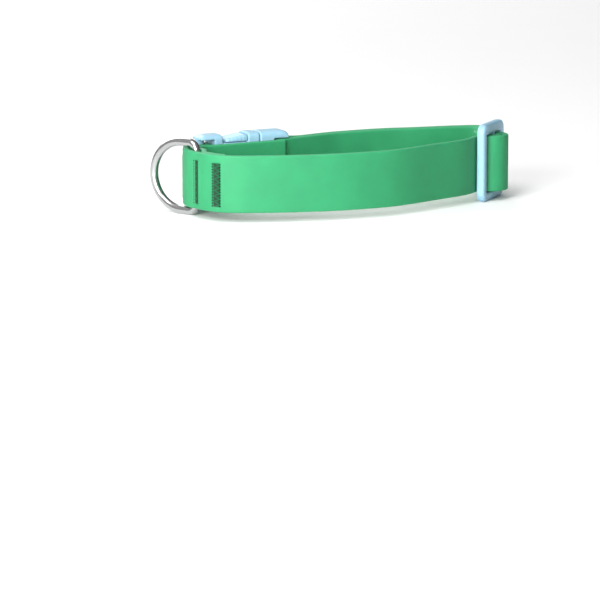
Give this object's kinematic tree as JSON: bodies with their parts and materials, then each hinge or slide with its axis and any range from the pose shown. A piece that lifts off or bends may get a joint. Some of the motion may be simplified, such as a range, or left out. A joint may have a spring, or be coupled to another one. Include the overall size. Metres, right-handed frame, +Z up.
{
  "type": "dog collar",
  "caption": "Closed dog collar of smooth coated strap, with a side release buckle, a slider for length and a D-ring held in a strap pocket.",
  "frame": {"origin": "middle of the collar's box, on the surface it lies on", "axes": "+X along the collar's length from the D-ring to the slider, +Y from the front strap to the back, +Z up through the neck opening"},
  "size_m": [0.1206, 0.073, 0.0263],
  "materials": {
    "coated_strap": "smooth matte green coating",
    "moulded_plastic": "light blue, satin moulded",
    "satin_steel": "satin"
  },
  "bodies": {
    "collar": {"strap": "coated_strap", "guard_strip": "coated_strap", "slider": "moulded_plastic", "buckle_socket": "moulded_plastic", "buckle_plug": "moulded_plastic"},
    "leash_ring": {"d_ring": "satin_steel"}
  },
  "joints": [
    {"name": "ring_swing", "type": "hinge", "parent": "collar", "child": "leash_ring", "pos_m": [-0.04442, -0.02124, 0.0128], "axis": [0, 0, 1], "range_deg": [-16, 110]}
  ]
}
